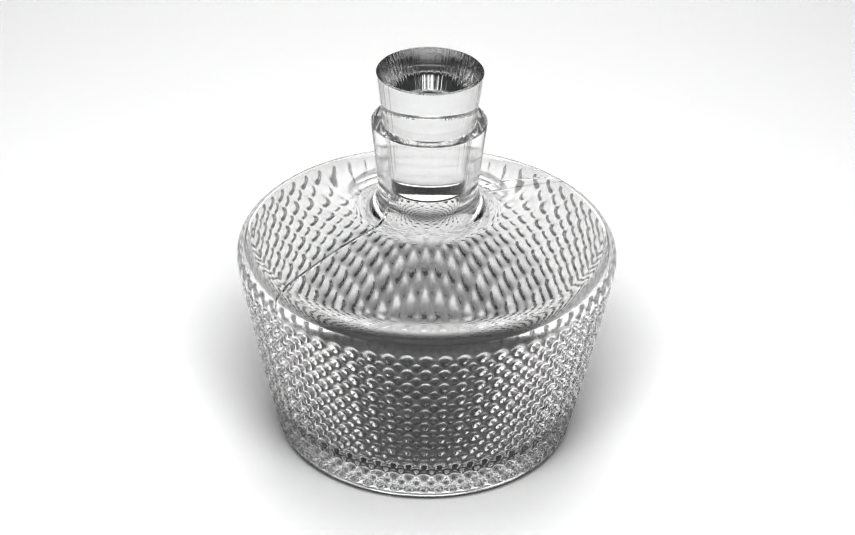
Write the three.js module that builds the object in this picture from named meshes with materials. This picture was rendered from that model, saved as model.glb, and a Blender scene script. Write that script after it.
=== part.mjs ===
import * as THREE from 'three';

// A clear glass spirits decanter: a tapered body with rows of dimples in its wall, a smooth sloping
// shoulder, a flared neck, and a solid ground stopper that drops into the neck.
// Millimetres, +Z up. The decanter stands on z = 0 and its axis is the Z axis.

// Body
const BODY_RADIUS = 75;            // widest point, round the shoulder's edge
const EDGE_HEIGHT = 78.8;          // height of that widest point
const EDGE_ROUND = 9.8;            // radius of the edge between wall and shoulder
const SHOULDER_SLOPE = 13.5;       // degrees that the shoulder falls towards its edge
const SHOULDER_CROWN = 0.9;        // rise of the shoulder's middle above a straight cone
const FOOT_RADIUS = 59.3;          // where the wall would meet the table
const FOOT_ROUND = 4.5;            // radius of the foot's edge
const WALL_BOW = 0.6;              // swell of the wall outside a straight cone
const WALL_THICKNESS = 4.6;        // glass from the dimples' rims to the inside
const FLOOR_THICKNESS = 10;        // glass from the table to the inside
const FLOOR_ROUND = 12;            // radius of the inner corner between wall and floor
const PUNT_DEPTH = 2;              // hollow under the base
const REST_RING_WIDTH = 9;         // flat ring that stands on the table

// Stopper
const STOPPER_LENGTH = 50;
const STOPPER_TOP_RADIUS = 20.5;
const STOPPER_BOTTOM_RADIUS = 14.3;
const STOPPER_BEVEL = 0.6;         // polished edges of both ends
const PLUG_DEPTH = 29;             // length of stopper inside the neck
const SEAT_GAP = 0.3;              // clearance between the stopper and its ground seat

// Neck, whose bore follows the stopper
const NECK_LENGTH = 36.7;          // from the shoulder to the rim
const RIM_WALL = 4.2;              // glass round the bore at the rim
const ROOT_WALL = 5;               // glass round the bore at the shoulder
const RIM_BEVEL = 0.5;             // polished edges of the rim
const NECK_FILLET = 10.5;          // outside, where the neck runs into the shoulder
const THROAT_ROUND = 6;            // inside, where the bore opens into the body

// Dimples: columns round the wall, in rows that alternate between large and small
const COLUMNS = 66;
const ROWS = 21;
const LOWEST_ROW = 6.75;           // height of the lowest row's centres
const TOP_MARGIN = 4.3;            // from the top row's centres to the shoulder's edge
const DIMPLE_DEPTH = 1.3;          // large ones, sunk below the wall's smooth outline
const SMALL_DIMPLE_DEPTH = 1.1;    // the ones in between

// Facets along a rounded corner of the profile, the punt, the shoulder and the inner wall
const CORNER_STEPS = 5;
const PUNT_STEPS = 3;
const SHOULDER_STEPS = 4;
const INNER_WALL_STEPS = 4;
const LEAST_ROUND = 0.5;           // of the inner edge, where the wall takes up all of EDGE_ROUND

const point = (r, z) => new THREE.Vector2(r, z);
const alongZ = (line, z) => line.from.x + (z - line.from.y) / line.way.y * line.way.x;

// A line of the profile, through a point and along a direction
function lineThrough(from, way) {
  return { from, way: way.clone().normalize() };
}

// The same line moved to its left
function moved(line, distance) {
  const left = point(-line.way.y, line.way.x);
  return { from: line.from.clone().addScaledVector(left, distance), way: line.way };
}

function crossing(a, b) {
  const between = b.from.clone().sub(a.from);
  const reach = between.cross(b.way) / a.way.cross(b.way);
  return a.from.clone().addScaledVector(a.way, reach);
}

// Points of the arc that rounds the corner where a line arrives and another leaves
function roundedCorner(arriving, leaving, radius) {
  const corner = crossing(arriving, leaving);
  const turn = Math.acos(arriving.way.dot(leaving.way));
  const setback = radius * Math.tan(turn / 2);
  const side = Math.sign(arriving.way.cross(leaving.way));
  const start = corner.clone().addScaledVector(arriving.way, -setback);
  const toCentre = point(-arriving.way.y, arriving.way.x).multiplyScalar(side * radius);
  const centre = start.clone().add(toCentre);
  const points = [];
  for (let step = 0; step <= CORNER_STEPS; step += 1) {
    points.push(start.clone().rotateAround(centre, side * turn * step / CORNER_STEPS));
  }
  return points;
}

// Lines of the outside, each along the way that the profile runs: out, up, in, up
const table = lineThrough(point(0, 0), point(1, 0));
const foot = point(FOOT_RADIUS, 0);
const edgeCentre = point(BODY_RADIUS - EDGE_ROUND, EDGE_HEIGHT);
const footToEdge = edgeCentre.clone().sub(foot);
const wallLean = footToEdge.angle() - Math.asin(EDGE_ROUND / footToEdge.length());
const wall = lineThrough(foot, point(Math.cos(wallLean), Math.sin(wallLean)));
const slope = THREE.MathUtils.degToRad(SHOULDER_SLOPE);
const edgeTop = point(Math.sin(slope), Math.cos(slope)).multiplyScalar(EDGE_ROUND).add(edgeCentre);
const shoulder = lineThrough(edgeTop, point(-Math.cos(slope), Math.sin(slope)));

// Stopper and bore share one taper
const taper = (STOPPER_TOP_RADIUS - STOPPER_BOTTOM_RADIUS) / STOPPER_LENGTH;
const seatGapAcross = SEAT_GAP * Math.hypot(1, taper);
const rimBore = STOPPER_BOTTOM_RADIUS + taper * PLUG_DEPTH + seatGapAcross;
const rimRadius = rimBore + RIM_WALL;
const rootRadius = rimBore - taper * NECK_LENGTH + ROOT_WALL;
const rootHeight = edgeTop.y + (edgeTop.x - rootRadius) * Math.tan(slope);
const rimHeight = rootHeight + NECK_LENGTH;
const neck = lineThrough(point(rootRadius, rootHeight), point(rimRadius - rootRadius, NECK_LENGTH));

// Lines of the inside, along the way that the profile runs: down, out, down, in
const bore = lineThrough(point(rimBore, rimHeight), point(-taper, -1));
const innerShoulder = moved(lineThrough(edgeTop, shoulder.way.clone().negate()), -WALL_THICKNESS);
const innerWall = moved(lineThrough(foot, wall.way.clone().negate()), -WALL_THICKNESS);
const floor = lineThrough(point(0, FLOOR_THICKNESS), point(-1, 0));

// The wall swells between the table and the shoulder's edge, inside and out
function bowed(flat) {
  const t = flat.y / EDGE_HEIGHT;
  const swell = t > 0 && t < 1 && flat.x > 0 ? 4 * WALL_BOW * t * (1 - t) : 0;
  return point(flat.x + swell, flat.y);
}

// One ring of a surface of revolution, its first point towards -Y
function ring(count, radiusAt, z) {
  const points = [];
  for (let i = 0; i < count; i += 1) {
    const angle = 2 * Math.PI * i / count;
    const r = radiusAt(i);
    points.push(new THREE.Vector3(r * Math.sin(angle), -r * Math.cos(angle), z));
  }
  return points;
}

const smoothRing = (p) => ring(p.x > 0 ? COLUMNS : 1, () => p.x, p.y);

// A row of dimples: bottoms and ridges by turns, each row half a column on from the one below
function dimpleRing(row) {
  const z = THREE.MathUtils.lerp(LOWEST_ROW, EDGE_HEIGHT - TOP_MARGIN, row / (ROWS - 1));
  const large = row % 2 === 0;
  const ridge = bowed(point(alongZ(wall, z), z)).x;
  const bottom = ridge - (large ? DIMPLE_DEPTH : SMALL_DIMPLE_DEPTH);
  return ring(2 * COLUMNS, (i) => ((i + row) % 2 === 0 ? bottom : ridge), z);
}

function underside() {
  const edge = roundedCorner(table, wall, FOOT_ROUND);
  const restInner = edge[0].x - REST_RING_WIDTH;
  const punt = [];
  for (let step = 0; step <= PUNT_STEPS; step += 1) {
    const t = step / PUNT_STEPS;
    punt.push(point(restInner * t, PUNT_DEPTH * (1 - t * t)));
  }
  return [...punt, ...edge];
}

function shoulderAndNeck() {
  const edge = roundedCorner(wall, shoulder, EDGE_ROUND);
  const fillet = roundedCorner(shoulder, neck, NECK_FILLET);
  const edgeEnd = edge[edge.length - 1];
  const crown = [];
  for (let step = 1; step < SHOULDER_STEPS; step += 1) {
    const t = step / SHOULDER_STEPS;
    const rise = point(0, 4 * SHOULDER_CROWN * t * (1 - t));
    crown.push(edgeEnd.clone().lerp(fillet[0], t).add(rise));
  }
  return [
    ...edge,
    ...crown,
    ...fillet,
    point(alongZ(neck, rimHeight - RIM_BEVEL), rimHeight - RIM_BEVEL),
    point(rimRadius - RIM_BEVEL, rimHeight),
    point(rimBore + RIM_BEVEL, rimHeight),
    point(alongZ(bore, rimHeight - RIM_BEVEL), rimHeight - RIM_BEVEL),
  ];
}

function inside() {
  const edgeRound = Math.max(EDGE_ROUND - WALL_THICKNESS, LEAST_ROUND);
  const edge = roundedCorner(innerShoulder, innerWall, edgeRound);
  const corner = roundedCorner(innerWall, floor, FLOOR_ROUND);
  const wallTop = edge[edge.length - 1];
  const wallRings = [];
  for (let step = 1; step < INNER_WALL_STEPS; step += 1) {
    wallRings.push(wallTop.clone().lerp(corner[0], step / INNER_WALL_STEPS));
  }
  return [
    ...roundedCorner(bore, innerShoulder, THROAT_ROUND),
    ...edge,
    ...wallRings,
    ...corner,
    point(0, FLOOR_THICKNESS),
  ];
}

// Skin between two rings. Equal rings take each diagonal along the ridges, so that every dimple is a
// four-sided pit; where one ring has twice the points of the other, its odd points fan out.
function skin(lower, upper, addTriangle) {
  const count = Math.max(lower.length, upper.length);
  const at = (points, i) => points[(i * points.length / count) % points.length | 0];
  const spread = (p) => Math.hypot(p.x, p.y);
  for (let i = 0; i < count; i += 1) {
    const [a, b] = [at(lower, i), at(lower, i + 1)];
    const [d, c] = [at(upper, i), at(upper, i + 1)];
    const rising = spread(a) + spread(c) > spread(b) + spread(d);
    const corners = rising ? [[a, b, c], [a, c, d]] : [[a, b, d], [b, c, d]];
    corners.filter((tri) => new Set(tri).size === 3).forEach(addTriangle);
  }
}

// A closed surface through rings that run from the axis to the axis
function revolved(rings) {
  const vertices = rings.flat();
  const indexOf = new Map(vertices.map((vertex, i) => [vertex, i]));
  const indices = [];
  const addTriangle = (tri) => indices.push(...tri.map((vertex) => indexOf.get(vertex)));
  for (let k = 0; k + 1 < rings.length; k += 1) {
    skin(rings[k], rings[k + 1], addTriangle);
  }
  const geometry = new THREE.BufferGeometry();
  geometry.setFromPoints(vertices);
  geometry.setIndex(indices);
  geometry.computeVertexNormals();
  return geometry;
}

function bodyGeometry() {
  const dimples = Array.from({ length: ROWS }, (_, row) => dimpleRing(row));
  const smooth = (points) => points.map(bowed).map(smoothRing);
  return revolved([
    ...smooth(underside()),
    ...dimples,
    ...smooth(shoulderAndNeck()),
    ...smooth(inside()),
  ]);
}

function stopperGeometry() {
  const radiusAt = (height) => STOPPER_BOTTOM_RADIUS + taper * height;
  const sideEnd = STOPPER_LENGTH - STOPPER_BEVEL;
  const profile = [
    point(0, 0),
    point(STOPPER_BOTTOM_RADIUS - STOPPER_BEVEL, 0),
    point(radiusAt(STOPPER_BEVEL), STOPPER_BEVEL),
    point(radiusAt(sideEnd), sideEnd),
    point(STOPPER_TOP_RADIUS - STOPPER_BEVEL, STOPPER_LENGTH),
    point(0, STOPPER_LENGTH),
  ];
  return revolved(profile.map(smoothRing));
}

const clearGlass = new THREE.MeshStandardMaterial({
  color: 0xe8eceb,
  roughness: 0.04,
  metalness: 0,
  transparent: true,
  opacity: 0.35,
});

const body = new THREE.Mesh(bodyGeometry(), clearGlass);
body.name = 'decanter_body';

const stopper = new THREE.Mesh(stopperGeometry(), clearGlass);
stopper.name = 'stopper';
stopper.position.z = rimHeight - PLUG_DEPTH;

const decanter = new THREE.Group();
decanter.name = 'decanter';
decanter.add(body, stopper);

export default decanter;
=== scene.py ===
import math

import bmesh
import bpy
from bpy.props import FloatProperty, IntProperty, PointerProperty, StringProperty
from bpy.types import NodeSocket, Operator, Panel, PropertyGroup
from mathutils import Matrix, Vector


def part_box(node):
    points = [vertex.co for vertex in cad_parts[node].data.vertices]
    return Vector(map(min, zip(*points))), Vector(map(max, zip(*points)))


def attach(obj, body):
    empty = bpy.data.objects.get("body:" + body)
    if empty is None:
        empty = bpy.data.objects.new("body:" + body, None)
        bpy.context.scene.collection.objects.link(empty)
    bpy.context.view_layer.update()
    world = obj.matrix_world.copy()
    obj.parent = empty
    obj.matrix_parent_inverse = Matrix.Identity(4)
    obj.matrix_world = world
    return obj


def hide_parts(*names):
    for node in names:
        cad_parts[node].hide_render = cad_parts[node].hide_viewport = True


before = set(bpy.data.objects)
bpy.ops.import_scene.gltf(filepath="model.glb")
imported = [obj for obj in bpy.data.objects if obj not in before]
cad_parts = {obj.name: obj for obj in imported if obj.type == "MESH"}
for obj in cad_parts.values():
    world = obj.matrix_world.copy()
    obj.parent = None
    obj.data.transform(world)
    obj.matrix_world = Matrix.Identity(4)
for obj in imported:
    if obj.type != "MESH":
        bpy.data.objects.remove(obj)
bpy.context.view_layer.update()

bl_info = {
    "name": "Dimpled Decanter",
    "version": (1, 0, 0),
    "blender": (4, 5, 0),
    "location": "View3D > Sidebar > Decanter",
    "description": "Builds a clear glass spirits decanter with a dimpled wall and a ground stopper",
    "category": "Add Mesh",
}

MM = 0.001
STOPPER_LOW, STOPPER_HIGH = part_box(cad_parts["stopper"].name)

# Kinds of surface along a profile. All but the plain one are also the names of vertex attributes.
PLAIN, DIMPLED, SEAMED, DRAWN = "plain", "dimpled", "seamed", "drawn"

# How finely the profile and its turning are cut up
FACET_ANGLE = math.radians(6)
FACET_LENGTH = 4 * MM
RINGS_PER_ROW = 6
WALL_CUTS_PER_COLUMN = 8
WALL_TO_SMOOTH = 4
SHARP_ANGLE = math.radians(30)
WELD = MM / 1000

# How much of the space between edge and fillet the shoulder's arc takes up
CROWN_SHARE = 0.98

# How smooth the patches of ripple and haze are, and the least and most haze for a mean of 1
NOISE_DETAIL = 1.0
RIPPLE_ROUGHNESS = 0.4
HAZE_RANGE = (0.7, 1.3)

# Soft boxes of the stage, in metres. The camera and the glass's outer faces show none of them. The one that
# shows is seen through the glass, and the one that pierces lights the floor as if the glass cast no shadow.
SOFT_BOXES = {
    "back": {"size": (1.8, 1.2), "place": (0, 1.5, 0.7), "target": (0, 0, 0.05), "shows": True},
    "table": {"size": (0.6, 2.0), "place": (0, 0.2, 1.0), "target": (0, 0.2, 0), "pierces": True},
    "key": {"size": (1.0, 0.6), "place": (0, -0.7, 1.0), "target": (0, 0, 0.06)},
}
FLOOR_DROP = 0.3 * MM

# Sine of the angle above the horizon where the room's ceiling begins
CEILING_RISE = 0.5

# Bounces of light, enough for it to pass both walls and run along inside the glass
GLASS_BOUNCES = 32
MIRROR_BOUNCES = 16

# A long lens that looks down on the shoulder from the front
CAMERA_LENS, CAMERA_SENSOR = 96.34, 36
CAMERA_PLACE = (0, -780 * MM, 538.9 * MM)
CAMERA_ORBIT = math.radians(-0.4)
CAMERA_PAN = math.radians(-0.028)
CAMERA_TILT = math.radians(90 - 30.982)
CAMERA_ROLL = math.radians(1.088)


def length(name, description, millimetres):
    """A property for a size, with its default given in millimetres."""
    return FloatProperty(
        name=name, description=description, default=millimetres * MM, min=0, unit="LENGTH", precision=5
    )


def angle(name, description, degrees):
    """A property for an angle, with its default given in degrees."""
    return FloatProperty(
        name=name, description=description, default=math.radians(degrees), subtype="ANGLE"
    )


def factor(name, description, default):
    """A property for a share from 0 to 1."""
    return FloatProperty(
        name=name, description=description, default=default, min=0, max=1, subtype="FACTOR"
    )


def number(name, description, default):
    """A property for a plain number."""
    return FloatProperty(name=name, description=description, default=default, min=0)


def colour(name, description, hex_colour):
    """A property for an sRGB colour in hex."""
    return StringProperty(name=name, description=description, default=hex_colour)


def power(name, description, watts):
    """A property for the power of a light."""
    return FloatProperty(name=name, description=description, default=watts, min=0, unit="POWER")


class BodySizes(PropertyGroup):
    """Sizes of the body, from the table to the rim."""

    radius: length("Body Radius", "Widest point, round the shoulder's edge", 75)
    edge_height: length("Edge Height", "Height of the widest point", 78.8)
    edge_round: length("Edge Round", "Radius of the edge between wall and shoulder", 9.8)
    inner_edge: length("Inner Edge", "Radius of the same edge on the inside", 3.4)
    shoulder_slope: angle("Shoulder Slope", "Fall of the shoulder towards its edge", 13.5)
    shoulder_crown: length("Shoulder Crown", "Rise of the shoulder's middle above a straight cone", 0.9)
    foot_radius: length("Foot Radius", "Where the wall would meet the table", 59.3)
    foot_round: length("Foot Round", "Radius of the foot's edge", 4.5)
    wall_bow: length("Wall Bow", "Swell of the wall outside a straight cone", 0.6)
    wall_thickness: length("Wall Thickness", "Glass from the dimples' rims to the inside", 4.6)
    floor_thickness: length("Floor Thickness", "Glass from the table to the inside", 10)
    floor_round: length("Floor Round", "Radius of the inner corner between wall and floor", 12)
    punt_depth: length("Punt Depth", "Hollow under the base", 2)
    rest_ring: length("Rest Ring", "Width of the flat ring that stands on the table", 9)
    neck_length: length("Neck Length", "From the shoulder to the rim", 36.7)
    rim_wall: length("Rim Wall", "Glass round the bore at the rim", 4.2)
    root_wall: length("Root Wall", "Glass round the bore at the shoulder", 5)
    rim_bevel: length("Rim Bevel", "Polished edges of the rim", 0.5)
    neck_fillet: length("Neck Fillet", "Outside, where the neck runs into the shoulder", 10.5)
    throat_round: length("Throat Round", "Inside, where the bore opens into the body", 6)


class DimpleSizes(PropertyGroup):
    """Sizes of the dimples, in rows that alternate between large and small."""

    columns: IntProperty(name="Columns", description="Dimples round one row", default=66, min=3)
    rows: IntProperty(name="Rows", description="Rows of both sizes together", default=21, min=1)
    lowest_row: length("Lowest Row", "Height of the lowest row's centres", 6.75)
    top_margin: length("Top Margin", "From the top row's centres to the widest point", 4.3)
    large_radius: length("Large Radius", "Radius of a large dimple at its rim", 2.6)
    small_radius: length("Small Radius", "Radius of a small dimple at its rim", 2.0)
    large_depth: length("Large Depth", "Depth of a large dimple below the smooth wall", 1.45)
    small_depth: length("Small Depth", "Depth of a small dimple below the smooth wall", 1.1)
    lip: length("Lip", "How far the rims are melted round by fire polish", 0.3)


class StopperSizes(PropertyGroup):
    """Sizes of the solid stopper, whose taper the neck's bore follows."""

    top_radius: length("Top Radius", "Radius of the flat top", 20.5)
    bottom_radius: length("Bottom Radius", "Radius of the flat bottom", 14.3)
    bevel: length("Bevel", "Polished edge of the top", 0.6)
    foot_round: length("Foot Round", "Radius of the lower edge", 4)
    plug_depth: length("Plug Depth", "Length of stopper inside the neck", 29)
    seat_gap: length("Seat Gap", "Clearance between the stopper and its seat", 0.3)


class GlassLook(PropertyGroup):
    """Look of the glass, which both pieces share."""

    tint: colour("Tint", "Colour of light that passes the glass", "FFFFFF")
    ior: number("IOR", "Refractive index of soda-lime glass", 1.52)
    roughness: factor("Roughness", "Haze of the fire-polished faces", 0.025)
    ripple: length("Ripple", "Height of the slow ripple that fire polish leaves", 0.003)
    ripple_width: length("Ripple Width", "Breadth of one ripple", 11)
    seam_height: length("Seam Height", "Height of the mould's seams on the shoulder", 0.22)
    seam_width: length("Seam Width", "Breadth of a seam", 1.6)
    seam_angle: angle("Seam Angle", "Turn of the seams from the front, to the right", -50)
    draw_height: length("Draw Height", "Height of the fine lines down the stopper's side", 0.25)
    draw_lines: number("Draw Lines", "Lines per radian round the stopper", 16)


class StageLook(PropertyGroup):
    """Look of the floor, the lights and the surroundings."""

    floor_colour: colour("Floor Colour", "Colour of the card on the floor", "EDEDED")
    floor_width: length("Floor Width", "Width of the card", 6000)
    floor_front: length("Floor Front", "Reach of the card towards the camera", 3000)
    floor_back: length("Floor Back", "Reach of the card away from the camera", 1500)
    room_colour: colour("Room Colour", "Colour of the unlit room's ceiling", "8E8E8E")
    horizon: number("Horizon", "Brightness of the room's walls to that of its ceiling", 2.2)
    contrast: number("Contrast", "Steepness of the picture's tones", 3)
    back_power: power("Back", "Pale wall beyond the floor", 7)
    table_power: power("Table", "Broad even light on the floor", 6.9)
    key_power: power("Key", "Light on the floor from above the camera", 10.6)


class DecanterSettings(PropertyGroup):
    """All that a user would change."""

    body: PointerProperty(type=BodySizes)
    dimples: PointerProperty(type=DimpleSizes)
    stopper: PointerProperty(type=StopperSizes)
    glass: PointerProperty(type=GlassLook)
    stage: PointerProperty(type=StageLook)


def linear(hex_colour):
    """An sRGB hex colour as linear red, green, blue and alpha."""
    channels = [int(hex_colour[i:i + 2], 16) / 255 for i in (0, 2, 4)]
    return [c / 12.92 if c <= 0.04045 else ((c + 0.055) / 1.055) ** 2.4 for c in channels] + [1]


def add_node(tree, kind, inputs=(), **settings):
    """Adds a node with settings, and values or links for its inputs. Returns its first output."""
    node = tree.nodes.new(kind)
    for name, value in settings.items():
        setattr(node, name, value)
    for key, value in dict(inputs).items():
        if isinstance(value, NodeSocket):
            tree.links.new(value, node.inputs[key])
        else:
            node.inputs[key].default_value = value
    return node.outputs[0] if node.outputs else None


def maths(tree, operation, *operands):
    """Adds a math node for an operation on values or sockets."""
    return add_node(tree, "ShaderNodeMath", enumerate(operands), operation=operation)


def product(tree, *operands):
    """Adds math nodes that multiply two or more values or sockets."""
    result = operands[0]
    for operand in operands[1:]:
        result = maths(tree, "MULTIPLY", result, operand)
    return result


def hypotenuse(tree, a, b):
    """Adds math nodes for the long side of a right-angled triangle."""
    squares = maths(tree, "ADD", maths(tree, "POWER", a, 2.0), maths(tree, "POWER", b, 2.0))
    return maths(tree, "SQRT", squares)


class Line:
    """A line of the profile, in radius and height, along the way that the profile runs."""

    def __init__(self, start, way):
        self.start = Vector(start)
        self.way = Vector(way).normalized()

    def moved(self, distance):
        """The same line moved to its left."""
        return Line(self.start + distance * Vector((-self.way.y, self.way.x)), self.way)

    def backwards(self):
        """The same line, run the other way."""
        return Line(self.start, -self.way)

    def crossing(self, other):
        """The point where this line meets another."""
        reach = (other.start - self.start).cross(other.way) / self.way.cross(other.way)
        return self.start + reach * self.way

    def radius_at(self, height):
        """The line's radius at a height."""
        return self.start.x + (height - self.start.y) / self.way.y * self.way.x


def rounded_corner(arriving, leaving, radius):
    """Points of the arc that rounds the corner where a line arrives and another leaves."""
    turn = arriving.way.angle(leaving.way)
    side = math.copysign(1, arriving.way.cross(leaving.way))
    start = arriving.crossing(leaving) - radius * math.tan(turn / 2) * arriving.way
    to_start = side * radius * Vector((arriving.way.y, -arriving.way.x))
    steps = max(math.ceil(turn / FACET_ANGLE), math.ceil(turn * radius / FACET_LENGTH))
    turned = [Matrix.Rotation(side * turn * step / steps, 2) @ to_start for step in range(steps + 1)]
    return [start - to_start + spoke for spoke in turned]


def straight(start, end, spacing=FACET_LENGTH):
    """Points between two others, without them."""
    steps = max(1, math.ceil((end - start).length / spacing))
    return [start.lerp(end, step / steps) for step in range(1, steps)]


def joined(*runs):
    """One run of points through several, with straight spans between them cut up evenly."""
    points = list(runs[0])
    for run in runs[1:]:
        points += straight(points[-1], run[0]) + list(run)
    return points


class Profile:
    """The body's half section: lines of the outside and the inside, and the points along them."""

    def __init__(self, body, stopper):
        self.body = body
        foot = Vector((body.foot_radius, 0))
        edge_centre = Vector((body.radius - body.edge_round, body.edge_height))
        to_edge = edge_centre - foot
        lean = math.atan2(to_edge.y, to_edge.x) - math.asin(body.edge_round / to_edge.length)
        self.lean = lean
        self.table = Line((0, 0), (1, 0))
        self.wall = Line(foot, (math.cos(lean), math.sin(lean)))
        slope = body.shoulder_slope
        edge_top = edge_centre + body.edge_round * Vector((math.sin(slope), math.cos(slope)))
        self.shoulder = Line(edge_top, (-math.cos(slope), math.sin(slope)))

        taper = (stopper.top_radius - stopper.bottom_radius) / (STOPPER_HIGH[2] - STOPPER_LOW[2])
        bore_radius = stopper.bottom_radius + taper * stopper.plug_depth
        bore_radius += stopper.seat_gap * math.hypot(1, taper)
        rim_radius = bore_radius + body.rim_wall
        root_radius = bore_radius - taper * body.neck_length + body.root_wall
        root_height = edge_top.y + (edge_top.x - root_radius) * math.tan(slope)
        self.rim_height = root_height + body.neck_length
        self.rim_radius = rim_radius
        self.bore_radius = bore_radius
        self.neck = Line((root_radius, root_height), (rim_radius - root_radius, body.neck_length))
        self.bore = Line((bore_radius, self.rim_height), (-taper, -1))
        self.inner_shoulder = self.shoulder.backwards().moved(-body.wall_thickness)
        self.inner_wall = self.wall.backwards().moved(-body.wall_thickness)
        self.floor = Line((0, body.floor_thickness), (-1, 0))

    def bowed(self, point):
        """A point of the straight section, moved out where the wall swells."""
        t = point.y / self.body.edge_height
        swell = 4 * self.body.wall_bow * t * (1 - t) if 0 < t < 1 and point.x > 0 else 0
        return Vector((point.x + swell, point.y))

    def underside(self):
        """A domed punt, the flat ring round it, and the foot's edge."""
        edge = rounded_corner(self.table, self.wall, self.body.foot_round)
        inner = edge[0].x - self.body.rest_ring
        steps = math.ceil(inner / FACET_LENGTH)
        punt = []
        for step in range(steps + 1):
            t = step / steps
            punt.append(Vector((inner * t, self.body.punt_depth * (1 - t * t))))
        return joined(punt, edge)

    def crowned_shoulder(self):
        """Edge, shoulder and neck fillet. The shoulder is an arc over the chord from edge to fillet."""
        body = self.body
        edge_end = rounded_corner(self.wall, self.shoulder, body.edge_round)[-1]
        fillet_start = rounded_corner(self.shoulder, self.neck, body.neck_fillet)[0]
        half = (fillet_start - edge_end).length / 2
        bend = math.atan(2 * body.shoulder_crown / half)
        outward = Vector((self.shoulder.way.y, -self.shoulder.way.x))
        ridge = (edge_end + fillet_start) / 2 + 2 * body.shoulder_crown * outward
        low = Line(ridge, Matrix.Rotation(-bend, 2) @ self.shoulder.way)
        high = Line(ridge, Matrix.Rotation(bend, 2) @ self.shoulder.way)
        edge = rounded_corner(self.wall, low, body.edge_round)
        fillet = rounded_corner(high, self.neck, body.neck_fillet)
        reach = min((edge[-1] - ridge).length, (fillet[0] - ridge).length)
        crown = rounded_corner(low, high, CROWN_SHARE * reach / math.tan(bend))
        return edge, crown, fillet

    def rim(self):
        """The flat rim between its two bevels, from the neck's outside to the bore."""
        bevel = self.body.rim_bevel
        low = self.rim_height - bevel
        return [
            Vector((self.neck.radius_at(low), low)),
            Vector((self.rim_radius - bevel, self.rim_height)),
            Vector((self.bore_radius + bevel, self.rim_height)),
            Vector((self.bore.radius_at(low), low)),
        ]

    def inside(self):
        """The inside, from the throat under the bore to the middle of the floor."""
        body = self.body
        return joined(
            rounded_corner(self.bore, self.inner_shoulder, body.throat_round),
            rounded_corner(self.inner_shoulder, self.inner_wall, body.inner_edge),
            rounded_corner(self.inner_wall, self.floor, body.floor_round),
            [Vector((0, body.floor_thickness))],
        )

    def points(self, row_pitch):
        """The whole section from axis to axis, as pairs of a point and the kind of surface there."""
        under = self.underside()
        edge, shoulder, fillet = self.crowned_shoulder()
        wall = straight(under[-1], edge[0], row_pitch / RINGS_PER_ROW)
        dimpled_edge = [p for p in edge if p.y < self.body.edge_height]
        plain_edge = edge[len(dimpled_edge):]
        upper = joined(plain_edge, shoulder, fillet)
        bore = joined(fillet[-1:], self.rim(), self.inside())[1:]
        runs = [(under, PLAIN), (wall + dimpled_edge, DIMPLED), (upper, SEAMED), (bore, PLAIN)]
        return [(self.bowed(point), kind) for run, kind in runs for point in run]


def stitch(mesh, lower, upper):
    """Faces between two rings of any count, or between a ring and a point on the axis."""
    if len(lower) == len(upper):
        for i in range(len(lower)):
            mesh.faces.new((lower[i - 1], lower[i], upper[i], upper[i - 1]))
        return
    i = j = 0
    steps_low = len(lower) if len(lower) > 1 else 0
    steps_high = len(upper) if len(upper) > 1 else 0
    while i < steps_low or j < steps_high:
        a, b = lower[i % len(lower)], upper[j % len(upper)]
        if j == steps_high or (i < steps_low and (i + 1) * steps_high <= (j + 1) * steps_low):
            i += 1
            mesh.faces.new((a, lower[i % len(lower)], b))
        else:
            j += 1
            mesh.faces.new((a, upper[j % len(upper)], b))


def turned(name, section, fine_count, coarse_count):
    """A closed solid of revolution, from points of its section and the kind of surface at each."""
    mesh = bmesh.new()
    layers = {kind: mesh.verts.layers.float.new(kind) for kind in (DIMPLED, SEAMED, DRAWN)}
    rings = []
    for point, kind in section:
        count = fine_count if kind == DIMPLED else coarse_count
        if point.x < WELD:
            count = 1
        ring = []
        for i in range(count):
            turn = 2 * math.pi * i / count
            vertex = mesh.verts.new((point.x * math.sin(turn), -point.x * math.cos(turn), point.y))
            if kind in layers:
                vertex[layers[kind]] = 1
            ring.append(vertex)
        rings.append(ring)
    for lower, upper in zip(rings, rings[1:]):
        stitch(mesh, lower, upper)
    corners = [point for point, _ in section]
    for before, corner, after, ring in zip(corners, corners[1:], corners[2:], rings[1:]):
        if (corner - before).angle(after - corner) > SHARP_ANGLE:
            for i in range(len(ring)):
                mesh.edges.get((ring[i - 1], ring[i])).smooth = False
    return plain_mesh(name, mesh)


def plain_mesh(name, mesh):
    """Ends a bmesh as smooth, closed mesh data with its faces outward. Sharp edges stay sharp."""
    bmesh.ops.remove_doubles(mesh, verts=mesh.verts, dist=WELD)
    bmesh.ops.recalc_face_normals(mesh, faces=mesh.faces)
    data = bpy.data.meshes.new(name)
    mesh.to_mesh(data)
    mesh.free()
    data.shade_smooth()
    return data


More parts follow.
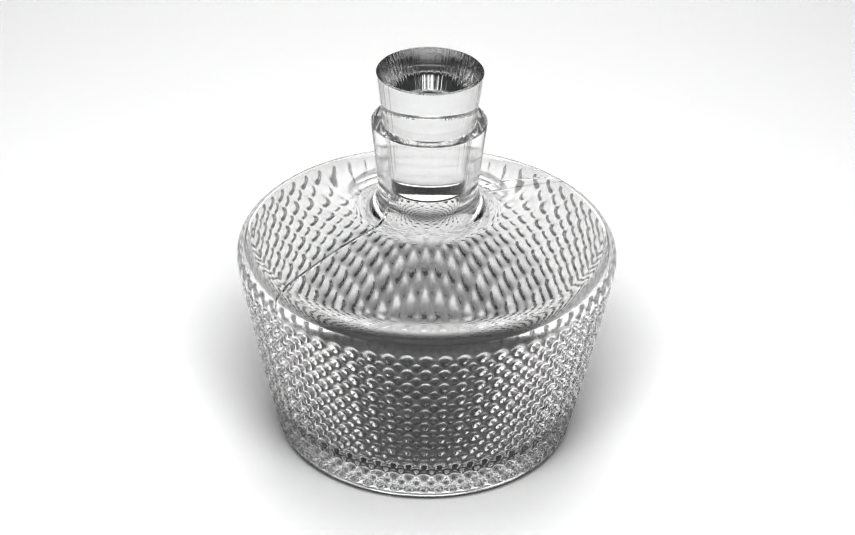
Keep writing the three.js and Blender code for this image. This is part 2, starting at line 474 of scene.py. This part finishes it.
def dimple_tree():
    """A Geometry Nodes tree that sinks rows of large and small dimples into a turned wall."""
    tree = bpy.data.node_groups.new("Dimples", "GeometryNodeTree")
    tree.interface.new_socket("Geometry", in_out="OUTPUT", socket_type="NodeSocketGeometry")
    tree.interface.new_socket("Geometry", in_out="INPUT", socket_type="NodeSocketGeometry")
    sizes = ("Columns", "Lowest Row", "Row Pitch", "Last Large", "Last Small", "Wall Lean")
    bowls = ("Large Radius", "Large Depth", "Small Radius", "Small Depth", "Lip")
    for name in sizes + bowls:
        tree.interface.new_socket(name, in_out="INPUT", socket_type="NodeSocketFloat")
    tree.interface.new_socket("Material", in_out="INPUT", socket_type="NodeSocketMaterial")
    given = tree.nodes.new("NodeGroupInput").outputs

    place = tree.nodes.new("ShaderNodeSeparateXYZ")
    tree.links.new(add_node(tree, "GeometryNodeInputPosition"), place.inputs[0])
    x, y, z = place.outputs
    turn = maths(tree, "ARCTAN2", x, product(tree, y, -1.0))
    column = maths(tree, "DIVIDE", product(tree, turn, given["Columns"]), 2 * math.pi)
    girth = product(tree, hypotenuse(tree, x, y), 2 * math.pi)
    column_pitch = maths(tree, "DIVIDE", girth, given["Columns"])
    row = maths(tree, "DIVIDE", maths(tree, "SUBTRACT", z, given["Lowest Row"]), given["Row Pitch"])
    row_along_wall = maths(tree, "DIVIDE", given["Row Pitch"], maths(tree, "SINE", given["Wall Lean"]))

    def bowl(size, column_shift, row_shift):
        """Depth of the nearest dimple of one size: a parabolic bowl whose rim rolls off softly."""
        across = maths(tree, "SUBTRACT", column, column_shift)
        across = maths(tree, "SUBTRACT", across, maths(tree, "ROUND", across))
        along = maths(tree, "SUBTRACT", row, row_shift)
        nearest = maths(tree, "ROUND", maths(tree, "DIVIDE", along, 2.0))
        nearest = maths(tree, "MINIMUM", maths(tree, "MAXIMUM", nearest, 0.0), given["Last " + size])
        along = maths(tree, "SUBTRACT", along, product(tree, nearest, 2.0))
        sideways = product(tree, across, column_pitch)
        upwards = product(tree, along, row_along_wall)
        distance = hypotenuse(tree, sideways, upwards)
        share = maths(tree, "POWER", maths(tree, "DIVIDE", distance, given[size + " Radius"]), 2.0)
        sharp = product(tree, maths(tree, "SUBTRACT", 1.0, share), given[size + " Depth"])
        return product(tree, maths(tree, "ADD", sharp, hypotenuse(tree, sharp, given["Lip"])), 0.5)

    depth = maths(tree, "MAXIMUM", bowl("Large", 0.0, 0.0), bowl("Small", 0.5, 1.0))
    reach = add_node(tree, "GeometryNodeInputNamedAttribute", {"Name": DIMPLED}, data_type="FLOAT")
    normal = add_node(tree, "GeometryNodeInputNormal")
    inward = {"Vector": normal, "Scale": product(tree, depth, reach, -1.0)}
    offset = add_node(tree, "ShaderNodeVectorMath", inward, operation="SCALE")
    moved = {"Geometry": given["Geometry"], "Offset": offset}
    sunk = add_node(tree, "GeometryNodeSetPosition", moved)
    real = add_node(tree, "GeometryNodeRealizeInstances", {"Geometry": sunk})
    finish = {"Geometry": real, "Material": given["Material"]}
    painted = add_node(tree, "GeometryNodeSetMaterial", finish)
    add_node(tree, "NodeGroupOutput", {"Geometry": painted})
    return tree


def applied(piece, tree, values):
    """Runs a Geometry Nodes tree on a piece and keeps the result as its plain mesh."""
    modifier = piece.modifiers.new(tree.name, "NODES")
    modifier.node_group = tree
    for item in tree.interface.items_tree:
        if item.in_out == "INPUT" and item.name in values:
            modifier[item.identifier] = values[item.name]
    shaped = piece.evaluated_get(bpy.context.evaluated_depsgraph_get())
    result = bpy.data.meshes.new_from_object(shaped)
    piece.modifiers.remove(modifier)
    piece.data = result


def new_piece(name, data):
    """An object in the scene, at the origin."""
    piece = bpy.data.objects.new(name, data)
    bpy.context.scene.collection.objects.link(piece)
    return piece


def marked(tree, kind):
    """Share of one kind of surface, from the vertex attribute of that name."""
    node = tree.nodes.new("ShaderNodeAttribute")
    node.attribute_name = kind
    return node.outputs["Fac"]


def seam_height(tree, look, position):
    """Height of the seams that a two-part mould leaves: a fine ridge on either side of the axis."""
    place = tree.nodes.new("ShaderNodeSeparateXYZ")
    tree.links.new(position, place.inputs[0])
    x, y, _ = place.outputs
    across = product(tree, x, math.cos(look.seam_angle))
    off = maths(tree, "MULTIPLY_ADD", y, math.sin(look.seam_angle), across)
    near = maths(tree, "DIVIDE", maths(tree, "ABSOLUTE", off), look.seam_width / 2)
    ridge = maths(tree, "MAXIMUM", maths(tree, "SUBTRACT", 1.0, near), 0.0)
    return product(tree, ridge, marked(tree, SEAMED), look.seam_height)


def draw_height(tree, look, position):
    """Height of the fine lines that drawing from the mould leaves down the stopper's side."""
    flat = add_node(tree, "ShaderNodeVectorMath", {0: position, 1: (1, 1, 0)}, operation="MULTIPLY")
    way = add_node(tree, "ShaderNodeVectorMath", {0: flat}, operation="NORMALIZE")
    noise = {"Vector": way, "Scale": look.draw_lines, "Detail": NOISE_DETAIL}
    lines = add_node(tree, "ShaderNodeTexNoise", noise)
    return product(tree, lines, marked(tree, DRAWN), look.draw_height)


def glass_material(look):
    """Clear soda-lime glass: bright and colourless, with fire polish's slow ripple and soft haze."""
    material = bpy.data.materials.get("soda_lime_glass")
    if material:
        return material
    material = bpy.data.materials.new("soda_lime_glass")
    material.use_nodes = True
    tree = material.node_tree
    tree.nodes.clear()
    position = tree.nodes.new("ShaderNodeTexCoord").outputs["Object"]
    noise = {
        "Vector": position, "Scale": 1 / look.ripple_width,
        "Detail": NOISE_DETAIL, "Roughness": RIPPLE_ROUGHNESS,
    }
    ripple = add_node(tree, "ShaderNodeTexNoise", noise)
    least, most = (share * look.roughness for share in HAZE_RANGE)
    haze = add_node(tree, "ShaderNodeMapRange", {"Value": ripple, "To Min": least, "To Max": most})
    seams, lines = seam_height(tree, look, position), draw_height(tree, look, position)
    marks = maths(tree, "ADD", seams, lines)
    height = maths(tree, "MULTIPLY_ADD", ripple, look.ripple, marks)
    bump = add_node(tree, "ShaderNodeBump", {"Height": height, "Distance": 1.0})
    clear = {
        "Base Color": linear(look.tint), "Roughness": haze, "IOR": look.ior,
        "Transmission Weight": 1.0, "Normal": bump,
    }
    surface = add_node(tree, "ShaderNodeBsdfPrincipled", clear)
    add_node(tree, "ShaderNodeOutputMaterial", {"Surface": surface})
    return material


class DECANTER_OT_body(Operator):
    """Turn the glass body and sink the dimples into its wall"""

    bl_idname = "decanter.body"
    bl_label = "Decanter Body"

    def execute(self, context):
        settings = context.scene.decanter
        dimples = settings.dimples
        profile = Profile(settings.body, settings.stopper)
        top_row = settings.body.edge_height - dimples.top_margin
        row_pitch = (top_row - dimples.lowest_row) / (dimples.rows - 1)
        fine_count = dimples.columns * WALL_CUTS_PER_COLUMN
        data = turned("glass_body", profile.points(row_pitch), fine_count, fine_count // WALL_TO_SMOOTH)
        piece = new_piece("glass_body", data)
        applied(piece, dimple_tree(), {
            "Columns": float(dimples.columns),
            "Lowest Row": dimples.lowest_row,
            "Row Pitch": row_pitch,
            "Last Large": float((dimples.rows - 1) // 2),
            "Last Small": float(dimples.rows // 2 - 1),
            "Wall Lean": profile.lean,
            "Large Radius": dimples.large_radius,
            "Large Depth": dimples.large_depth,
            "Small Radius": dimples.small_radius,
            "Small Depth": dimples.small_depth,
            "Lip": dimples.lip,
            "Material": glass_material(settings.glass),
        })
        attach(piece, "vessel")
        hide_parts("decanter_body")
        return {"FINISHED"}


class DECANTER_OT_stopper(Operator):
    """Turn the solid stopper"""

    bl_idname = "decanter.stopper"
    bl_label = "Stopper"

    def execute(self, context):
        settings = context.scene.decanter
        sizes = settings.stopper
        low, high = STOPPER_LOW[2], STOPPER_HIGH[2]
        side = Line((sizes.bottom_radius, low), (sizes.top_radius - sizes.bottom_radius, high - low))
        bottom = Line((0, low), (1, 0))
        foot = joined([bottom.start], rounded_corner(bottom, side, sizes.foot_round))
        shelf = high - sizes.bevel
        flank = joined(foot[-1:], [Vector((side.radius_at(shelf), shelf))])[1:]
        top = joined([Vector((sizes.top_radius - sizes.bevel, high))], [Vector((0, high))])
        runs = [(foot, PLAIN), (flank, DRAWN), (top, PLAIN)]
        section = [(point, kind) for run, kind in runs for point in run]
        count = settings.dimples.columns * WALL_CUTS_PER_COLUMN // WALL_TO_SMOOTH
        data = turned("glass_stopper", section, count, count)
        data.materials.append(glass_material(settings.glass))
        piece = new_piece("glass_stopper", data)
        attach(piece, "stopper")
        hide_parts("stopper")
        return {"FINISHED"}


def floor_material(look):
    """Matt white card: an even pale ground that the glass refracts."""
    material = bpy.data.materials.new("white_card")
    material.use_nodes = True
    surface = material.node_tree.nodes["Principled BSDF"]
    surface.inputs["Base Color"].default_value = linear(look.floor_colour)
    surface.inputs["Roughness"].default_value = 1.0
    surface.inputs["Specular IOR Level"].default_value = 0.0
    return material


def add_light(name, watts, floor_only, size, place, target, shows=False, pierces=False):
    """A soft box aimed at a point, out of the camera's sight."""
    data = bpy.data.lights.new(name, "AREA")
    data.energy = watts
    data.shape = "RECTANGLE"
    data.size, data.size_y = size
    light = new_piece(name, data)
    light.location = place
    light.rotation_euler = (Vector(target) - Vector(place)).to_track_quat("-Z", "Y").to_euler()
    light.visible_camera = False
    light.visible_glossy = False
    light.visible_transmission = shows
    if pierces:
        light.light_linking.blocker_collection = floor_only


def room_world(look):
    """An unlit grey room, whose walls are paler than its ceiling."""
    world = bpy.data.worlds.new("room")
    world.use_nodes = True
    tree = world.node_tree
    tree.nodes.clear()
    place = tree.nodes.new("ShaderNodeSeparateXYZ")
    tree.links.new(tree.nodes.new("ShaderNodeTexCoord").outputs["Generated"], place.inputs[0])
    levels = {
        "Value": place.outputs["Z"], "From Max": CEILING_RISE,
        "To Min": look.horizon, "To Max": 1.0,
    }
    grey = {
        "Color": linear(look.room_colour), "Strength": add_node(tree, "ShaderNodeMapRange", levels),
    }
    room = add_node(tree, "ShaderNodeBackground", grey)
    add_node(tree, "ShaderNodeOutputWorld", {"Surface": room})
    return world


def add_floor(look):
    """The card, a hair below the foot of the body."""
    side, front, back = look.floor_width / 2, -look.floor_front, look.floor_back
    card = bpy.data.meshes.new("floor")
    corners = [(-side, front, 0), (side, front, 0), (side, back, 0), (-side, back, 0)]
    card.from_pydata(corners, [], [(0, 1, 2, 3)])
    card.materials.append(floor_material(look))
    floor = new_piece("floor", card)
    floor.location.z = -FLOOR_DROP
    return floor


def add_camera():
    """The camera, turned round the axis, panned, tilted down from the front and rolled."""
    data = bpy.data.cameras.new("camera")
    data.sensor_fit = "HORIZONTAL"
    data.sensor_width = CAMERA_SENSOR
    data.lens = CAMERA_LENS
    data.dof.use_dof = False
    camera = new_piece("camera", data)
    camera.matrix_world = (
        Matrix.Rotation(CAMERA_ORBIT, 4, "Z")
        @ Matrix.Translation(CAMERA_PLACE)
        @ Matrix.Rotation(CAMERA_PAN, 4, "Z")
        @ Matrix.Rotation(CAMERA_TILT, 4, "X")
        @ Matrix.Rotation(CAMERA_ROLL, 4, "Z")
    )
    return camera


class DECANTER_OT_stage(Operator):
    """Set the floor, the lights, the room and the camera"""

    bl_idname = "decanter.stage"
    bl_label = "Stage"

    def execute(self, context):
        scene = context.scene
        look = scene.decanter.stage
        floor_only = bpy.data.collections.new("floor_only")
        floor_only.objects.link(add_floor(look))
        for name, box in SOFT_BOXES.items():
            add_light(name, getattr(look, name + "_power"), floor_only, **box)
        scene.world = room_world(look)
        scene.camera = add_camera()
        scene.view_settings.view_transform = "Standard"
        scene.view_settings.gamma = 1 / look.contrast
        scene.cycles.max_bounces = GLASS_BOUNCES
        scene.cycles.transmission_bounces = GLASS_BOUNCES
        scene.cycles.glossy_bounces = MIRROR_BOUNCES
        return {"FINISHED"}


class DECANTER_PT_panel(Panel):
    """Sizes, looks and pieces of the decanter"""

    bl_label = "Decanter"
    bl_idname = "DECANTER_PT_panel"
    bl_space_type = "VIEW_3D"
    bl_region_type = "UI"
    bl_category = "Decanter"

    def draw(self, context):
        settings = context.scene.decanter
        for part in DecanterSettings.__annotations__:
            group = getattr(settings, part)
            box = self.layout.box()
            for name in group.__annotations__:
                box.prop(group, name)
        for operator in OPERATORS:
            self.layout.operator(operator.bl_idname)


OPERATORS = (DECANTER_OT_body, DECANTER_OT_stopper, DECANTER_OT_stage)
GROUPS = (BodySizes, DimpleSizes, StopperSizes, GlassLook, StageLook, DecanterSettings)
CLASSES = GROUPS + OPERATORS + (DECANTER_PT_panel,)


def register():
    for cls in CLASSES:
        bpy.utils.register_class(cls)
    bpy.types.Scene.decanter = PointerProperty(type=DecanterSettings)


def unregister():
    del bpy.types.Scene.decanter
    for cls in reversed(CLASSES):
        bpy.utils.unregister_class(cls)


def main():
    """Builds both pieces and the stage."""
    register()
    bpy.ops.decanter.body()
    bpy.ops.decanter.stopper()
    bpy.ops.decanter.stage()


if __name__ == "__main__":
    main()
